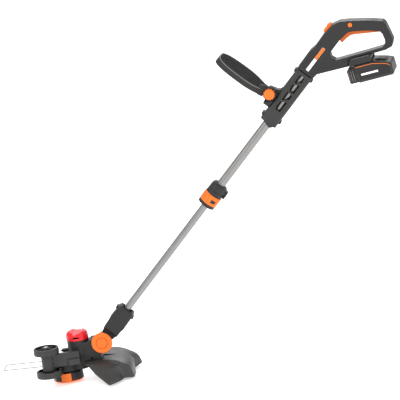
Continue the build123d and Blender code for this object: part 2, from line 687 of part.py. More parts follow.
def gear_case():
    """Cup under the head that holds the gear pair."""
    floor = CASE_BOTTOM + 3
    room_r = PINION_CASE_R - 3
    cup = post(0, 0, CASE_BOTTOM, CASE_TOP, CASE_R) + post(MOTOR_X, 0, CASE_BOTTOM, CASE_TOP, PINION_CASE_R)
    cup += slab(flat_plane, [(0, CASE_BOTTOM), (MOTOR_X, CASE_BOTTOM), (MOTOR_X, CASE_TOP), (0, CASE_TOP)],
                -PINION_CASE_R + 0.1, PINION_CASE_R - 0.1)
    cup -= post(0, 0, floor, 50, CASE_R - 3)
    cup -= post(MOTOR_X, 0, floor, 50, room_r)
    cup -= slab(flat_plane, [(0, floor), (MOTOR_X, floor), (MOTOR_X, 50), (0, 50)], -room_r + 0.1,
                room_r - 0.1)
    cup -= post(0, 0, 20, 40, 4.0 + RUN)
    return cup


def motor_can():
    can = post(MOTOR_X, 0, 47.0, 88.0, 18.2)
    can -= post(MOTOR_X, 0, 49.5, 85.5, 16.6)
    can += pipe((MOTOR_X, 0, 45.0), (MOTOR_X, 0, 47.5), 6.5, 3.5)
    can -= post(MOTOR_X, 0, 40, 60, 2.5 + RUN)
    can -= post(MOTOR_X, 0, 84, 90, 2.5 + RUN)
    plate = pipe((MOTOR_X, 0, 47.0), (MOTOR_X, 0, 49.0), TOWER_R - 2.65, 18.0)
    return can + plate


def motor_rotor():
    shaft = post(MOTOR_X, 0, 30.5 + 1.2, 90.0, 2.5)
    core = post(MOTOR_X, 0, 53, 78, 13.5)
    for k in range(8):
        ang = math.radians(45 * k)
        x = MOTOR_X + 13.0 * math.cos(ang)
        y = 13.0 * math.sin(ang)
        core -= post(x, y, 50, 80, 1.4)
    commutator = post(MOTOR_X, 0, 79, 84, 6)
    return shaft + core + commutator


def gear(teeth, z0, z1, bore, phase):
    """Spur gear with straight-sided teeth."""
    pitch_r = GEAR_MODULE * teeth / 2
    root_r = pitch_r - 1.35 * GEAR_MODULE
    tip_r = pitch_r + 0.85 * GEAR_MODULE
    step = 360 / teeth
    pts = []
    for k in range(teeth):
        base = phase + k * step
        for da, r in ((-0.37 * step, root_r), (-0.20 * step, pitch_r), (-0.105 * step, tip_r),
                      (0.105 * step, tip_r), (0.20 * step, pitch_r), (0.37 * step, root_r)):
            a = math.radians(base + da)
            pts.append((r * math.cos(a), r * math.sin(a)))
    wheel = extrude(Pos(0, 0, z0) * Polygon(*pts, align=None), amount=z1 - z0)
    wheel -= post(0, 0, z0 - 1, z1 + 1, bore)
    return wheel


def driven_gear():
    wheel = gear(GEAR_BIG, 33.5, 39.5, 4.02, 0.0)
    for k in range(5):
        a = math.radians(72 * k + 36)
        wheel -= post(14 * math.cos(a), 14 * math.sin(a), 30, 42, 4.0)
    return wheel


def pinion():
    return Pos(MOTOR_X, 0, 0) * gear(GEAR_SMALL, 33.0, 40.0, 2.52, 180.0 + 9.0)


def feed_button():
    """Red cap over the tower with a finger saddle across the top."""
    dome = turned([(0, CAP_BOTTOM), (CAP_R, CAP_BOTTOM), (CAP_R, 110), (CAP_R - 0.8, 117), (CAP_R - 3.6,
                                                                                            122.5),
                   (CAP_R - 8, 125.2), (0, 125.6)], MOTOR_X)
    hollow = turned([(0, 90), (CAP_R - 0.85, 90), (CAP_R - 0.85, 109.5), (CAP_R - 4, 116), (CAP_R - 9, 118),
                     (0, 118.2)], MOTOR_X)
    dome -= hollow
    saddle = rod((MOTOR_X + 1.5, -40, 141), (MOTOR_X + 1.5, 40, 141), 20.5)
    dome -= saddle
    stem = post(MOTOR_X, 0, 103.2, 119, 4.5)
    guide = pipe((MOTOR_X, 0, 112), (MOTOR_X, 0, 118.5), 13.5, 11.4)
    slot = box_on(flat_plane, MOTOR_X - 15, MOTOR_X + 15, 109.2, 113.0, -40, -CAP_R + 2.6)
    return dome + stem + guide - slot


def feed_spring():
    return spiral(MOTOR_X, 0, 98.7, 117.8, 8.6, 0.8, 4)


GUARD = [
    (-43, [(62, 49), (84, 46), (104, 33), (116, 25), (164, 3)]),
    (-36, [(62, 49), (90, 46.5), (114, 33), (126, 26.5), (163, 3)]),
    (-28, [(62, 49), (96, 47), (126, 35), (137, 29.5), (162, 3)]),
    (-20, [(63, 49), (104, 47.5), (138, 38.5), (149.5, 33.5), (160, 3)]),
    (-17, [(64, 49), (112, 48.3), (142, 43.5), (166, 33), (180, 3)]),
    (-11, [(66, 49), (116, 48.5), (144, 45), (168, 32), (177.6, 3)]),
    (0, [(66, 49), (118, 48.5), (146, 45), (166, 31), (171.5, 3)]),
    (11, [(66, 49), (120, 48.5), (147, 46), (166, 31), (168.5, 3)]),
    (15, [(66, 49), (122, 48.5), (148, 46), (171, 31), (176, 5)]),
    (21, [(64, 49), (126, 50), (152, 48), (182, 31), (192, 8)]),
    (28, [(62, 49), (126, 51.5), (152, 49), (181, 31), (191.5, 9)]),
    (34, [(62, 49), (122, 52.5), (146, 50), (170, 35), (180, 14)]),
    (40, [(62, 49), (112, 52.5), (132, 50), (150, 39), (158, 22)]),
]


def guard_section(deg, top):
    """One radial cross-section of the shield, 2.6 mm thick."""
    shift = [(0, -2.6), (-0.6, -2.6), (-1.3, -2.3), (-2.0, -1.7), (-2.6, 0)]
    under = [(r + dr, z + dz) for (r, z), (dr, dz) in zip(top, shift)]
    a = math.radians(deg)
    plane = Plane(origin=(0, 0, 0), x_dir=(math.cos(a), math.sin(a), 0), z_dir=(math.sin(a), -math.cos(a), 0))
    return plane * Polygon(*(top + under[::-1]), align=None)


def guard():
    """Rear shield with sloping near wing, step rib and bulged far corner."""
    shield = None
    for (a0, p0), (a1, p1) in zip(GUARD[:-1], GUARD[1:]):
        piece = loft([guard_section(a0, p0), guard_section(a1, p1)], ruled=True)
        shield = piece if shield is None else shield + piece
    pad = slab(flat_plane, [(68, 47), (94, 47), (94, 53), (86, 57.4), (68, 57.4)], -15, 15)
    shield += pad
    rail = slab(flat_plane, [(68, 46), (100, 46), (150, 40), (150, 44), (100, 52), (68, 52)], 17, 19.5)
    shield += rail
    for x in (72.0, 88.0):
        shield -= post(x, 0.0, 40, 60, 1.75)
        shield -= post(x, 0.0, 40, 49.5, 3.3)
    return shield


def line_cutter():
    """Steel blade at the far end of the shield rim."""
    a = math.radians(31.0)
    place = Plane(origin=(167 * math.cos(a), 167 * math.sin(a), 0), x_dir=(-math.sin(a), math.cos(a), 0),
                  z_dir=(math.cos(a), math.sin(a), 0))
    face = Polygon((-9, 7), (6, 7), (6, 27.8), (-9, 27.8), align=None)
    return extrude(place * face, amount=-1.5)


def head_screws():
    """Identical screws that close the head and hold the guard."""
    screws = None
    for x, z in HEAD_POSTS:
        one = rod((x, -6, z), (x, 21.0, z), 1.5) + rod((x, 20.6, z), (x, 22.8, z), 2.9)
        screws = one if screws is None else screws + one
    for x in (72.0, 88.0):
        one = rod((x, 0, 63.5), (x, 0, 49.0), 1.5) + rod((x, 0, 49.4), (x, 0, 47.2), 2.9)
        screws += one
    return screws


# ---------------------------------------------------------------- wheels and plant guard
def wheel_arm():
    """Arm on the near side of the tower with the housing of the wheel axle."""
    a = Vector(WHEEL_X, WHEEL_Y, 0)
    b = Vector(41, -40.2, 0)
    way = (b - a).normalized()
    side = Vector(-way.Y, way.X, 0)
    pts = []
    for base, t in ((a, -7.3), (b, -7.3), (b, 7.3), (a, 7.3)):
        p = base + side * t
        pts.append((p.X, p.Y))
    arm = extrude(Pos(0, 0, 50) * Polygon(*pts, align=None), amount=33)
    top = arm.edges().filter_by(lambda e: e.center().Z > 82.9 and e.length > 40)
    arm = soften(arm, top, [2.5, 1.2])
    arm += post(WHEEL_X, WHEEL_Y, WHEEL_LOW + WHEEL_H + 0.5, WHEEL_HIGH - 0.5, AXLE_POST_R)
    lip = Plane(origin=b + Vector(0, 0, 49.5), x_dir=(way.X, way.Y, 0), z_dir=(0, 0, 1))
    arm += lip * Pos(-15, -8.2, 8) * Box(28, 4, 15)
    groove = lip * Pos(-14, -8.0, 17.0) * Box(30, 4, 1.8)
    arm -= groove
    groove2 = lip * Pos(-30.2, -8.0, 9.0) * Box(1.8, 4, 17)
    arm -= groove2
    arm -= post(WHEEL_X, WHEEL_Y, 20, 110, AXLE_R + 0.02)
    arm -= post(MOTOR_X, 0, 40, 120, CAP_R + 2.0)
    arm -= box_on(flat_plane, 23.9, 44.1, 49.9, 66.1, -32.5, -24)
    return arm


def wheel_axle():
    axle = post(WHEEL_X, WHEEL_Y, WHEEL_LOW - 0.4, WHEEL_HIGH + WHEEL_H + 0.5, AXLE_R)
    axle += post(WHEEL_X, WHEEL_Y, WHEEL_HIGH + WHEEL_H + 0.4, WHEEL_HIGH + WHEEL_H + 2.2, 5.0)
    axle += post(WHEEL_X, WHEEL_Y, WHEEL_LOW - 1.5, WHEEL_LOW - 0.4, 5.0)
    return axle


def edger_wheel(z0):
    """Moulded guide wheel with rim, web with holes and hub."""
    rim = post(WHEEL_X, WHEEL_Y, z0, z0 + WHEEL_H, WHEEL_R)
    outer = rim.edges().filter_by(GeomType.CIRCLE)
    rim = soften(rim, outer, [1.5, 0.8])
    rim -= post(WHEEL_X, WHEEL_Y, z0 + 9.0, z0 + 20, WHEEL_R - 4.5)
    rim -= post(WHEEL_X, WHEEL_Y, z0 - 2, z0 + 5.5, WHEEL_R - 4.5)
    wheel = rim + post(WHEEL_X, WHEEL_Y, z0 + 0.1, z0 + WHEEL_H - 0.1, 8.5)
    for k in range(5):
        a = math.radians(72 * k + 18)
        wheel -= post(WHEEL_X + 18 * math.cos(a), WHEEL_Y + 18 * math.sin(a), z0 - 2, z0 + 20, 5.6)
    for k in range(5):
        a = 72 * k + 54
        fin = Pos(WHEEL_X, WHEEL_Y, z0 + 8) * Rot(0, 0, a) * Pos(18, 0, 0) * Box(21, 2.2, 12)
        wheel += fin
    wheel -= post(WHEEL_X, WHEEL_Y, z0 - 2, z0 + 20, AXLE_R + RUN)
    return wheel


def wire_guard():
    """Bent steel wire that keeps the line off plants; it folds up."""
    x_tip = -156.5
    side_y = 36.3
    leg_y = 26.0
    pts = [(WIRE_PIVOT_X, -side_y + 4.5), (WIRE_PIVOT_X, -side_y), (-34, -side_y), (-62, -leg_y),
           (x_tip, -leg_y), (x_tip, leg_y), (-62, leg_y), (-34, side_y), (WIRE_PIVOT_X, side_y),
           (WIRE_PIVOT_X, side_y - 4.5)]
    with BuildLine(Plane.XY.offset(WIRE_Z)) as line:
        FilletPolyline(*pts, radius=3.0)
    path = line.wire()
    profile = Plane(origin=path @ 0, z_dir=path % 0) * Circle(WIRE_R)
    return sweep(profile, path=path, transition=Transition.ROUND)


# ---------------------------------------------------------------- spool
def spool_shaft():
    shaft = post(0, 0, 4.0, DECK_TOP + 4.0, 4.0)
    return shaft


def spool_housing():
    """Drum over the line spool with tab windows and eyelet holes."""
    drum = turned([(0, CAP_RIM + 0.1), (SPOOL_R - 0.2, CAP_RIM + 0.1), (SPOOL_R, 14), (SPOOL_R - 0.6, 23),
                   (SPOOL_R - 3.4, SPOOL_TOP), (0, SPOOL_TOP)])
    drum -= post(0, 0, 0, SPOOL_TOP - 2.5, SPOOL_R - 3.2)
    drum += post(0, 0, SPOOL_TOP - 4.5, SPOOL_TOP + 1.8, 9.0)
    drum -= post(0, 0, -5, 60, 4.03)
    for side in (-1, 1):
        drum -= Pos(0, side * SPOOL_R, 11) * Box(26.6, 12, 27.4)
    for deg in (-141, 39):
        a = math.radians(deg)
        drum -= rod((30 * math.cos(a), 30 * math.sin(a), 10.5), (44 * math.cos(a), 44 * math.sin(a), 10.5),
                    3.05)
    for k in range(12):
        if k % 6 in (1, 2, 4, 5):
            a = math.radians(30 * k)
            x = (SPOOL_R + 1.6) * math.cos(a)
            y = (SPOOL_R + 1.6) * math.sin(a)
            drum -= post(x, y, 14, 22, 2.2)
    return drum


def line_eyelets():
    both = None
    for deg in (-141, 39):
        a = math.radians(deg)
        c = math.cos(a)
        s = math.sin(a)
        one = pipe((33.6 * c, 33.6 * s, 10.5), (39.2 * c, 39.2 * s, 10.5), 3.0, 1.5)
        one += pipe((38.2 * c, 38.2 * s, 10.5), (39.6 * c, 39.6 * s, 10.5), 4.0, 1.5)
        both = one if both is None else both + one
    return both


def spool_reel():
    reel = post(0, 0, 7.0, 8.6, 31) + post(0, 0, 19.6, 21.2, 31) + post(0, 0, 7.0, 21.2, 15)
    reel -= post(0, 0, 0, 30, 11.0)
    return reel


def line_winding():
    return pipe((0, 0, 8.8), (0, 0, 19.4), 27.5, 15.1)


def spool_cap():
    """Removable cap with two latch tabs that rise into the drum windows."""
    cap = turned([(0, 0), (30, 0), (SPOOL_R - 2.5, 1.2), (SPOOL_R + 0.3, 3.2), (SPOOL_R + 0.3, CAP_RIM),
                  (SPOOL_R - 3.8, CAP_RIM), (SPOOL_R - 3.8, 3.0), (0, 3.0)])
    cap += post(0, 0, 2.5, 6.4, 9.5) - post(0, 0, 3.8, 8, 4.6)
    for side in (-1, 1):
        tab = post(0, 0, 2.0, 24.4, SPOOL_R + 0.3) - post(0, 0, 0, 30, SPOOL_R - 2.6)
        tab &= Pos(0, side * SPOOL_R, 13) * Box(25.6, 14, 26)
        cap += tab
    return cap


def spool_spring():
    return spiral(0, 0, 7.0, 20.5, 8.0, 0.8, 4)


# ---------------------------------------------------------------- screws
def side_screw(p):
    """M4 screw along Y with its head towards the far side."""
    x, y, z = p
    shank = rod((x, y - 9.5, z), (x, y + 1, z), 2.0)
    head = rod((x, y + 0.02, z), (x, y + 2.3, z), 3.5)
    slot = Pos(x, y + 2.3, z) * Box(5, 1.4, 0.9)
    return shank + head - slot


def frame_screws():
    group = None
    spots = [(at_shaft(s, n, 6.2)) for s, n in SLEEVE_BOSSES]
    spots.append(at_shaft(*COLLAR_SCREW, 5.9))
    spots += [Vector(x, 11.2, z) for x, z in HANDLE_POSTS]
    for v in spots:
        one = side_screw((v.X, v.Y, v.Z))
        group = one if group is None else group + one
    return group


def lower_screws():
    group = None
    for s, n in HOUSING_BOSSES:
        v = at_shaft(s, n, 6.2)
        one = side_screw((v.X, v.Y, v.Z))
        group = one if group is None else group + one
    return group


# ---------------------------------------------------------------- export
keep("lower_tube", lower_tube())
keep("upper_tube", upper_tube())
keep("tube_index_plug", tube_index_plug())
keep("collar_shell_near", collar_shell(-1))
keep("collar_shell_far", collar_shell(1))
keep("lock_ring", lock_ring())
keep("collar_end_ring", collar_end_ring())
keep("truss_sleeve_near", truss_sleeve(-1))
keep("truss_sleeve_far", truss_sleeve(1))
keep("handle_shell_near", handle_shell(-1))
keep("handle_shell_far", handle_shell(1))
keep("badge_strip", badge_strip())
keep("trigger", trigger())
keep("trigger_pin", trigger_pin())
keep("lock_off_button", lock_off_button())
keep("mode_slider", mode_slider())
keep("switch_unit", switch_unit())
keep("control_board", control_board())
keep("battery_dock", battery_dock())
keep("dock_terminals", dock_terminals())
keep("pack_shell_upper", pack_shell_upper())
keep("pack_shell_lower", pack_shell_lower())
keep("pack_cells", pack_cells())
keep("pack_contacts", pack_contacts())
keep("battery_latch", battery_latch())
keep("aux_bracket", aux_bracket())
keep("aux_loop", aux_loop())
keep("aux_pivot_bolt", aux_pivot_bolt())
keep("aux_star_knob", aux_star_knob())
keep("lower_housing_near", lower_housing(-1))
keep("lower_housing_far", lower_housing(1))
keep("pivot_pin", pivot_pin())
keep("pivot_button", pivot_button())
keep("pivot_cap_far", pivot_cap_far())
keep("head_shell_near", head_shell(-1))
keep("head_shell_far", head_shell(1))
keep("gear_case", gear_case())
keep("motor_can", motor_can())
keep("motor_rotor", motor_rotor())
keep("pinion", pinion())
keep("driven_gear", driven_gear())
keep("feed_button", feed_button())
keep("feed_spring", feed_spring())
keep("guard", guard())
keep("line_cutter", line_cutter())
keep("head_screws", head_screws())
keep("wheel_arm", wheel_arm())
keep("wheel_axle", wheel_axle())
keep("wheel_upper", edger_wheel(WHEEL_HIGH))
keep("wheel_lower", edger_wheel(WHEEL_LOW))
keep("wire_guard", wire_guard())
keep("spool_shaft", spool_shaft())
keep("spool_housing", spool_housing())
keep("line_eyelets", line_eyelets())
keep("spool_reel", spool_reel())
keep("line_winding", line_winding())
keep("spool_cap", spool_cap())
keep("spool_spring", spool_spring())
keep("frame_screws", frame_screws())
keep("lower_screws", lower_screws())
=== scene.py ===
import bmesh
import bpy
import json
import math
from mathutils import Matrix, Vector
from mathutils.geometry import tessellate_polygon


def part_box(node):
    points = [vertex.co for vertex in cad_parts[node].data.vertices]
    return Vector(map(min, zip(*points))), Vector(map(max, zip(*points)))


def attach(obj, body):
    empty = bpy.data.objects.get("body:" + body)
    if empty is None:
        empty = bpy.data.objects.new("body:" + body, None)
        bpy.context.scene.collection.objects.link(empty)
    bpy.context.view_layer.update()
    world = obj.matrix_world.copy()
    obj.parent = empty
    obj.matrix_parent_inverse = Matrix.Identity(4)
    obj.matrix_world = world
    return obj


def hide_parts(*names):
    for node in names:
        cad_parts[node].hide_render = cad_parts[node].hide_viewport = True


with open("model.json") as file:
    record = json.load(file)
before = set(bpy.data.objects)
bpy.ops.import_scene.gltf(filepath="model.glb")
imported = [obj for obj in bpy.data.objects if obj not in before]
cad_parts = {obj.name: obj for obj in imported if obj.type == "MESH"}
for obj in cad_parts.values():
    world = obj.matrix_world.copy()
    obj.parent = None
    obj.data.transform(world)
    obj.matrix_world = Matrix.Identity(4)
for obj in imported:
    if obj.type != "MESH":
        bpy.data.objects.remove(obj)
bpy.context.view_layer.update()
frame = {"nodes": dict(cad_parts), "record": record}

NODES = frame["nodes"]

# ------------------------------------------------------------------ frame of the object (metres)
TILT = Vector((0.101, 0.0, 0.093))
SHAFT_ANGLE = math.radians(46.2)
ALONG = Vector((math.cos(SHAFT_ANGLE), 0.0, math.sin(SHAFT_ANGLE)))
ACROSS = Vector((-math.sin(SHAFT_ANGLE), 0.0, math.cos(SHAFT_ANGLE)))
PACK_ANGLE = math.radians(8.5)
PACK_AT = Vector((0.865, 0.0, 0.7385))


def on_shaft(s, n=0.0, y=0.0):
    """Point at s along the shaft and n across it, both in mm, y in mm."""
    return TILT + ALONG * (s / 1000) + ACROSS * (n / 1000) + Vector((0, y / 1000, 0))


# ------------------------------------------------------------------ materials
class Shader:
    """Small helper that wires a node tree for one material."""

    def __init__(self, name):
        self.mat = bpy.data.materials.new(name)
        self.mat.use_nodes = True
        self.tree = self.mat.node_tree
        self.bsdf = self.tree.nodes["Principled BSDF"]
        self.coord = self.node("ShaderNodeTexCoord")
        self.geo = self.node("ShaderNodeNewGeometry")

    def node(self, kind, **values):
        made = self.tree.nodes.new(kind)
        for key, value in values.items():
            if hasattr(made, key):
                setattr(made, key, value)
            else:
                made.inputs[key.replace("_", " ")].default_value = value
        return made

    def link(self, a, b):
        self.tree.links.new(a, b)

    def noise(self, scale, detail=3.0, stretch=None):
        tex = self.node("ShaderNodeTexNoise", Scale=scale, Detail=detail, Roughness=0.55)
        source = self.coord.outputs["Object"]
        if stretch is not None:
            mapping = self.node("ShaderNodeMapping")
            mapping.inputs["Rotation"].default_value = stretch[1]
            mapping.inputs["Scale"].default_value = stretch[0]
            self.link(source, mapping.inputs["Vector"])
            source = mapping.outputs["Vector"]
        self.link(source, tex.inputs["Vector"])
        return tex.outputs["Fac"]

    def remap(self, source, lo, hi, to_lo, to_hi):
        ranged = self.node("ShaderNodeMapRange")
        for key, value in (("From Min", lo), ("From Max", hi), ("To Min", to_lo), ("To Max", to_hi)):
            ranged.inputs[key].default_value = value
        self.link(source, ranged.inputs["Value"])
        return ranged.outputs["Result"]

    def math(self, operation, a, b):
        made = self.node("ShaderNodeMath", operation=operation)
        for slot, value in ((0, a), (1, b)):
            if isinstance(value, (int, float)):
                made.inputs[slot].default_value = value
            else:
                self.link(value, made.inputs[slot])
        return made.outputs["Value"]

    def mix(self, factor, a, b):
        made = self.node("ShaderNodeMix", data_type="RGBA")
        self.link(factor, made.inputs["Factor"])
        for slot, value in (("A", a), ("B", b)):
            socket = [i for i in made.inputs if i.name == slot and i.type == "RGBA"][0]
            if isinstance(value, (tuple, list)):
                socket.default_value = (*value[:3], 1.0)
            else:
                self.link(value, socket)
        return [o for o in made.outputs if o.type == "RGBA"][0]


def shade(color, k):
    return tuple(max(0.0, min(1.0, c * k)) for c in color)


def moulded(name, color, rough=0.5, grain=900.0, grain_depth=0.00005, mottle=0.12, wear=0.35, edge=0.0009,
            specular=0.45, coat=0.0, metallic=0.0, stretch=None):
    """Moulded plastic, rubber or metal with colour variation, fine grain, rounded edges and edge wear."""
    sh = Shader(name)
    bsdf = sh.bsdf
    patches = sh.noise(22.0, 4.0)
    tone = sh.remap(patches, 0.3, 0.7, 0.0, 1.0)
    base = sh.mix(tone, shade(color, 1.0 - mottle), shade(color, 1.0 + mottle))
    bevel = sh.node("ShaderNodeBevel", samples=4)
    bevel.inputs["Radius"].default_value = edge
    dot = sh.node("ShaderNodeVectorMath", operation="DOT_PRODUCT")
    sh.link(bevel.outputs["Normal"], dot.inputs[0])
    sh.link(sh.geo.outputs["Normal"], dot.inputs[1])
    rim = sh.remap(dot.outputs["Value"], 0.995, 0.90, 0.0, 1.0)
    scuff = sh.remap(sh.noise(140.0, 5.0), 0.42, 0.68, 0.25, 1.0)
    worn = sh.math("MULTIPLY", sh.math("MULTIPLY", rim, scuff), wear)
    lighter = tuple(min(1.0, c * 1.7 + 0.03) for c in color)
    base = sh.mix(worn, base, lighter)
    sh.link(base, bsdf.inputs["Base Color"])
    fine = sh.noise(grain, 3.0, stretch)
    rough_value = sh.remap(sh.noise(60.0, 4.0), 0.3, 0.7, rough - 0.06, rough + 0.07)
    rough_value = sh.math("ADD", rough_value, sh.math("MULTIPLY", worn, 0.15))
    sh.link(rough_value, bsdf.inputs["Roughness"])
    bump = sh.node("ShaderNodeBump")
    bump.inputs["Strength"].default_value = 0.6
    bump.inputs["Distance"].default_value = grain_depth
    sh.link(fine, bump.inputs["Height"])
    sh.link(bevel.outputs["Normal"], bump.inputs["Normal"])
    sh.link(bump.outputs["Normal"], bsdf.inputs["Normal"])
    bsdf.inputs["Specular IOR Level"].default_value = specular
    bsdf.inputs["Metallic"].default_value = metallic
    if coat:
        bsdf.inputs["Coat Weight"].default_value = coat
        bsdf.inputs["Coat Roughness"].default_value = 0.15
    return sh.mat


SHAFT_TURN = (0.0, SHAFT_ANGLE, 0.0)
MAT = {
    "orange_plastic": moulded("orange_plastic", (0.70, 0.138, 0.014), 0.40, mottle=0.06, specular=0.25),
    "red_plastic": moulded("red_plastic", (0.60, 0.008, 0.014), 0.30, mottle=0.06, specular=0.3, coat=0.12),
    "black_plastic": moulded("black_plastic", (0.015, 0.0148, 0.0145), 0.48, grain=1300.0,
                             grain_depth=0.00008, specular=0.3),
    "grey_plastic": moulded("grey_plastic", (0.024, 0.0235, 0.023), 0.5, grain=1300.0, grain_depth=0.00008,
                            specular=0.32),
    "guard_plastic": moulded("guard_plastic", (0.030, 0.0295, 0.029), 0.40, grain=700.0, specular=0.35),
    "grip_rubber": moulded("grip_rubber", (0.018, 0.0175, 0.017), 0.66, grain=1500.0, grain_depth=0.0001,
                           specular=0.3),
    "wheel_plastic": moulded("wheel_plastic", (0.026, 0.026, 0.0255), 0.46, grain=1000.0, specular=0.32),
    # lighter grey for the bead on the loop handle's lip: a painted highlight
    "rim_painted_highlight_grey": moulded("rim_painted_highlight_grey", (0.13, 0.13, 0.128), 0.34, grain=1500.0),
    "pack_grey": moulded("pack_grey", (0.16, 0.135, 0.125), 0.45, grain=1500.0),
    "pack_black": moulded("pack_black", (0.012, 0.0118, 0.0115), 0.36, grain=1600.0, specular=0.3),
    "tube_metal": moulded("tube_metal", (0.25, 0.245, 0.24), 0.34, grain=240.0, grain_depth=0.00002,
                          mottle=0.03, wear=0.1, metallic=1.0, stretch=((0.02, 1.0, 1.0), SHAFT_TURN)),
    "steel": moulded("steel", (0.55, 0.55, 0.55), 0.32, metallic=1.0, mottle=0.05, wear=0.15),
    "zinc_screw": moulded("zinc_screw", (0.22, 0.22, 0.23), 0.35, metallic=1.0, mottle=0.05, wear=0.3),
    "wire_steel": moulded("wire_steel", (0.28, 0.28, 0.275), 0.3, metallic=1.0, mottle=0.03, wear=0.1),
    "copper": moulded("copper", (0.75, 0.44, 0.20), 0.3, metallic=1.0, mottle=0.05, wear=0.1),
    "cell_wrap": moulded("cell_wrap", (0.03, 0.16, 0.42), 0.35, coat=0.3),
    "line_nylon": moulded("line_nylon", (0.80, 0.20, 0.03), 0.3, coat=0.2),
    "board_green": moulded("board_green", (0.015, 0.14, 0.035), 0.35, coat=0.3),
    "gear_nylon": moulded("gear_nylon", (0.62, 0.59, 0.50), 0.45, mottle=0.05),
    "badge": moulded("badge", (0.82, 0.82, 0.80), 0.3, mottle=0.03),
    "trigger_plastic": moulded("trigger_plastic", (0.52, 0.105, 0.018), 0.42, mottle=0.07, specular=0.25),
}
SLOT_OF = {part["node"]: part["material_slot"] for part in frame["record"]["subparts"]}


def dress(obj, name):
    obj.data.materials.clear()
    obj.data.materials.append(MAT[name])


for node_name, node in NODES.items():
    dress(node, SLOT_OF[node_name])

# ------------------------------------------------------------------ mesh helpers (outlines in mm)
def flat_at(x, z, y):
    return Vector((x, y, z)) / 1000


def pack_at(u, w, y):
    c, s = math.cos(PACK_ANGLE), math.sin(PACK_ANGLE)
    return PACK_AT + Vector((c * u - s * w, y, s * u + c * w)) / 1000


def rounded(points, corner, steps=5):
    """Outline with each corner cut back by at most corner and turned into a smooth arc."""
    out = []
    count = len(points)
    for i, here in enumerate(points):
        here = Vector(here)
        before = Vector(points[i - 1])
        after = Vector(points[(i + 1) % count])
        cut_a = min(corner, (before - here).length * 0.45)
        cut_b = min(corner, (after - here).length * 0.45)
        a = here + (before - here).normalized() * cut_a
        b = here + (after - here).normalized() * cut_b
        for k in range(steps + 1):
            t = k / steps
            out.append(tuple(a * (1 - t) ** 2 + here * 2 * t * (1 - t) + b * t * t))
    return out


def ring_loop(cx, cy, r, steps=40):
    return [(cx + r * math.cos(2 * math.pi * k / steps), cy + r * math.sin(2 * math.pi * k / steps))
            for k in range(steps)]


def turned_way(loop, ccw):
    area = sum(loop[i - 1][0] * loop[i][1] - loop[i][0] * loop[i - 1][1] for i in range(len(loop)))
    return loop if (area > 0) == ccw else loop[::-1]


def moved_in(loop, depth):
    """Loop with every point moved inwards by depth, or outwards for a hole that runs the other way."""
    out = []
    count = len(loop)
    for i, (x, z) in enumerate(loop):
        ax, az = loop[i - 1]
        bx, bz = loop[(i + 1) % count]
        tx, tz = bx - ax, bz - az
        size = math.hypot(tx, tz) or 1.0
        out.append((x - tz / size * depth, z + tx / size * depth))
    return out


def prism(place, outline, y0, y1, rim=0.6, holes=(), rim_steps=3):
    """Mesh of an outline with holes, from y0 to y1, with rounded rims."""
    loops = [turned_way(list(outline), True)] + [turned_way(list(h), False) for h in holes]
    turn = [math.pi / 2 * k / rim_steps for k in range(rim_steps + 1)]
    steps = [(rim * (1 - math.sin(a)), y0 + rim * (1 - math.cos(a))) for a in turn]
    steps += [(rim * (1 - math.sin(a)), y1 - rim * (1 - math.cos(a))) for a in reversed(turn)]
    bm = bmesh.new()
    rows = []
    for depth, y in steps:
        rows.append([[bm.verts.new(place(x, z, y)) for x, z in moved_in(loop, depth)] for loop in loops])
    for row_a, row_b in zip(rows, rows[1:]):
        for loop_a, loop_b in zip(row_a, row_b):
            for i in range(len(loop_a)):
                j = (i + 1) % len(loop_a)
                bm.faces.new((loop_a[i], loop_a[j], loop_b[j], loop_b[i]))
    for row, (depth, _) in ((rows[0], steps[0]), (rows[-1], steps[-1])):
        flat = [v for loop in row for v in loop]
        polys = [[Vector((x, z, 0)) for x, z in moved_in(loop, depth)] for loop in loops]
        for tri in tessellate_polygon(polys):
            bm.faces.new([flat[i] for i in tri])
    bmesh.ops.recalc_face_normals(bm, faces=bm.faces)
    return bm


def turned_shape(origin, axis, profile, steps):
    """Surface of revolution about an axis, from a closed outline in (radius, height) mm."""
    axis = Vector(axis).normalized()
    side = axis.orthogonal().normalized()
    other = axis.cross(side)
    bm = bmesh.new()
    rows = []
    for k in range(steps):
        a = 2 * math.pi * k / steps
        out = side * math.cos(a) + other * math.sin(a)
        row = []
        for r, h in profile:
            row.append(bm.verts.new(Vector(origin) + (out * r + axis * h) / 1000))
        rows.append(row)
    for k in range(steps):
        row_a, row_b = rows[k], rows[(k + 1) % steps]
        for i in range(len(profile)):
            j = (i + 1) % len(profile)
            bm.faces.new((row_a[i], row_b[i], row_b[j], row_a[j]))
    bmesh.ops.recalc_face_normals(bm, faces=bm.faces)
    return bm


def piece(name, bm, finish, body, nodes=(), sharp=38.0):
    """Turns a mesh into a named object with its finish, on its CAD body."""
    data = bpy.data.meshes.new(name)
    bm.to_mesh(data)
    bm.free()
    data.shade_smooth()
    data.set_sharp_from_angle(angle=math.radians(sharp))
    data.materials.append(MAT[finish])
    made = bpy.data.objects.new(name, data)
    bpy.context.scene.collection.objects.link(made)
    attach(made, body)
    if nodes:
        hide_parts(*nodes)
    return made


def through(points, per_span):
    """Smooth curve through the points, as tuples."""
    out = []
    last = len(points) - 1
    for i in range(last):
        p0 = points[max(0, i - 1)]
        p1, p2 = points[i], points[i + 1]
        p3 = points[min(last, i + 2)]
        for k in range(per_span):
            t = k / per_span
            out.append(tuple(0.5 * (2 * b + (c - a) * t + (2 * a - 5 * b + 4 * c - d) * t * t
                                    + (3 * b - a - 3 * c + d) * t ** 3)
                             for a, b, c, d in zip(p0, p1, p2, p3)))
    out.append(tuple(points[-1]))
    return out


